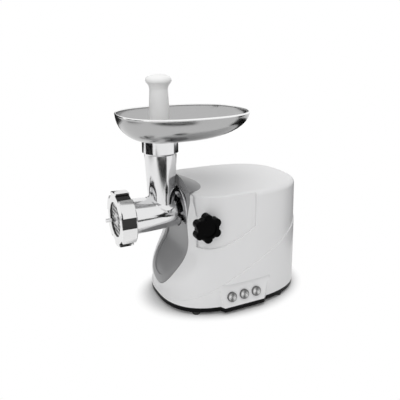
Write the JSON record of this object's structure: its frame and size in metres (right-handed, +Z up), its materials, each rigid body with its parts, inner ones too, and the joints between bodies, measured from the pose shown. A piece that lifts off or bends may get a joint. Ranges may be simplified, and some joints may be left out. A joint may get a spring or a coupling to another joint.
{
  "type": "electric meat grinder",
  "caption": "Worktop electric meat grinder: white motor body, polished head with auger, plate and ring nut, feed neck, oval tray, pusher, lock knob and push buttons.",
  "frame": {"origin": "on the floor, under the middle of the whole machine", "axes": "+X to the rear of the motor body, the grinding head points to -X; +Y away from the lock knob and buttons; +Z up"},
  "size_m": [0.303, 0.1788, 0.3365],
  "materials": {
    "white_shell": "satin white moulded plastic",
    "grey_panel": "satin mid grey moulded plastic",
    "black_base": "black moulded plastic",
    "knob_black": "glossy black moulded plastic",
    "cup_dark": "dark moulded plastic",
    "rubber_black": "matte black rubber",
    "polished_casting": "polished cast aluminium",
    "polished_steel": "polished pressed stainless steel",
    "bright_ring": "bright chrome plating",
    "button_metal": "spun metal caps",
    "steel": "machined steel",
    "gearbox_casting": "as-cast aluminium",
    "nylon": "natural nylon",
    "pusher_white": "food-safe white plastic",
    "bronze": "sintered bronze",
    "copper": "enamelled copper winding",
    "carbon": "pressed carbon",
    "switch_plastic": "black switch cases",
    "board_green": "glass-fibre circuit board"
  },
  "bodies": {
    "root": {"main_housing": "white_shell", "front_panel": "grey_panel", "socket_collar": "bright_ring", "socket_cup": "cup_dark", "base_plate": "black_base", "feet": "rubber_black", "base_screws": "steel", "cord_gland": "rubber_black", "gearbox_housing": "gearbox_casting", "gearbox_cover": "gearbox_casting", "gearbox_screws": "steel", "drive_bushes": "bronze", "idler_pins": "steel", "lock_nut": "bronze", "motor_bearings": "steel", "stator_core": "steel", "field_coils": "copper", "through_bolts": "steel", "brush_holders": "bronze", "carbon_brushes": "carbon", "motor_pad": "rubber_black", "switches": "switch_plastic", "switch_board": "board_green", "front_motor_bracket": "gearbox_casting", "rear_motor_bracket": "gearbox_casting"},
    "rotor": {"rotor_shaft": "steel", "rotor_core": "steel", "commutator": "copper", "cooling_fan": "nylon"},
    "first_gear": {"first_idler": "nylon"},
    "second_gear": {"second_idler": "steel"},
    "output": {"output_gear": "steel", "drive_shaft": "steel"},
    "head": {"grinder_barrel": "polished_casting", "auger_bush": "nylon"},
    "auger": {"auger_screw": "polished_casting", "cross_knife": "polished_steel"},
    "plate": {"cutting_plate": "polished_steel"},
    "nut": {"ring_nut": "polished_casting"},
    "hopper": {"tray": "polished_steel"},
    "stomper": {"pusher": "pusher_white"},
    "lock_slide": {"lock_washer": "steel"},
    "lock": {"lock_knob": "knob_black", "lock_screw": "steel"},
    "press_front": {"button_front": "button_metal"},
    "press_middle": {"button_middle": "button_metal"},
    "press_rear": {"button_rear": "button_metal"}
  },
  "joints": [
    {"name": "second_gear_spin", "type": "hinge", "parent": "root", "child": "second_gear", "pos_m": [0.01245, 0.01741, 0.10337], "axis": [1, 0, 0], "continuous": true},
    {"name": "first_gear_spin", "type": "hinge", "parent": "root", "child": "first_gear", "pos_m": [0.02845, -0.00863, 0.08846], "axis": [1, 0, 0], "continuous": true},
    {"name": "motor_spin", "type": "hinge", "parent": "root", "child": "rotor", "pos_m": [0.08245, 0.00781, 0.06481], "axis": [1, 0, 0], "continuous": true},
    {"name": "output_spin", "type": "hinge", "parent": "root", "child": "output", "pos_m": [0.01245, 0.0034, 0.1395], "axis": [1, 0, 0], "continuous": true},
    {"name": "head_pull", "type": "slide", "parent": "root", "child": "head", "axis": [-1, 0, 0], "range_m": [0, 0.06]},
    {"name": "auger_spin", "type": "hinge", "parent": "head", "child": "auger", "pos_m": [-0.06755, 0.0034, 0.1395], "axis": [1, 0, 0], "continuous": true},
    {"name": "plate_slide", "type": "slide", "parent": "head", "child": "plate", "axis": [-1, 0, 0], "range_m": [0, 0.015]},
    {"name": "ring_nut_turn", "type": "hinge", "parent": "plate", "child": "nut", "pos_m": [-0.12755, 0.0034, 0.1395], "axis": [-1, 0, 0], "range_deg": [0, 1800]},
    {"name": "tray_lift", "type": "slide", "parent": "head", "child": "hopper", "axis": [0, 0, 1], "range_m": [0, 0.13]},
    {"name": "pusher_lift", "type": "slide", "parent": "head", "child": "stomper", "axis": [0, 0, 1], "range_m": [0, 0.12]},
    {"name": "lock_screw_slide", "type": "slide", "parent": "root", "child": "lock_slide", "axis": [0, -1, 0], "range_m": [0, 0.0025]},
    {"name": "lock_knob_turn", "type": "hinge", "parent": "lock_slide", "child": "lock", "pos_m": [-0.03655, -0.0666, 0.1395], "axis": [0, -1, 0], "range_deg": [0, 720]},
    {"name": "button_front_press", "type": "slide", "parent": "root", "child": "press_front", "axis": [0, 0.957, -0.29], "range_m": [0, 0.0025], "stiffness_N_per_m": 600},
    {"name": "button_middle_press", "type": "slide", "parent": "root", "child": "press_middle", "axis": [0, 0.957, -0.29], "range_m": [0, 0.0025], "stiffness_N_per_m": 600},
    {"name": "button_rear_press", "type": "slide", "parent": "root", "child": "press_rear", "axis": [0, 0.957, -0.29], "range_m": [0, 0.0025], "stiffness_N_per_m": 600}
  ],
  "couplings": [
    {"joint": "first_gear_spin", "follows": "second_gear_spin", "ratio": -4},
    {"joint": "motor_spin", "follows": "second_gear_spin", "ratio": 20},
    {"joint": "output_spin", "follows": "second_gear_spin", "ratio": -0.24},
    {"joint": "auger_spin", "follows": "second_gear_spin", "ratio": -0.24},
    {"joint": "plate_slide", "follows": "ring_nut_turn", "m_per_rad": 0.00047746},
    {"joint": "lock_knob_turn", "follows": "lock_screw_slide", "rad_per_m": 5026.5}
  ]
}
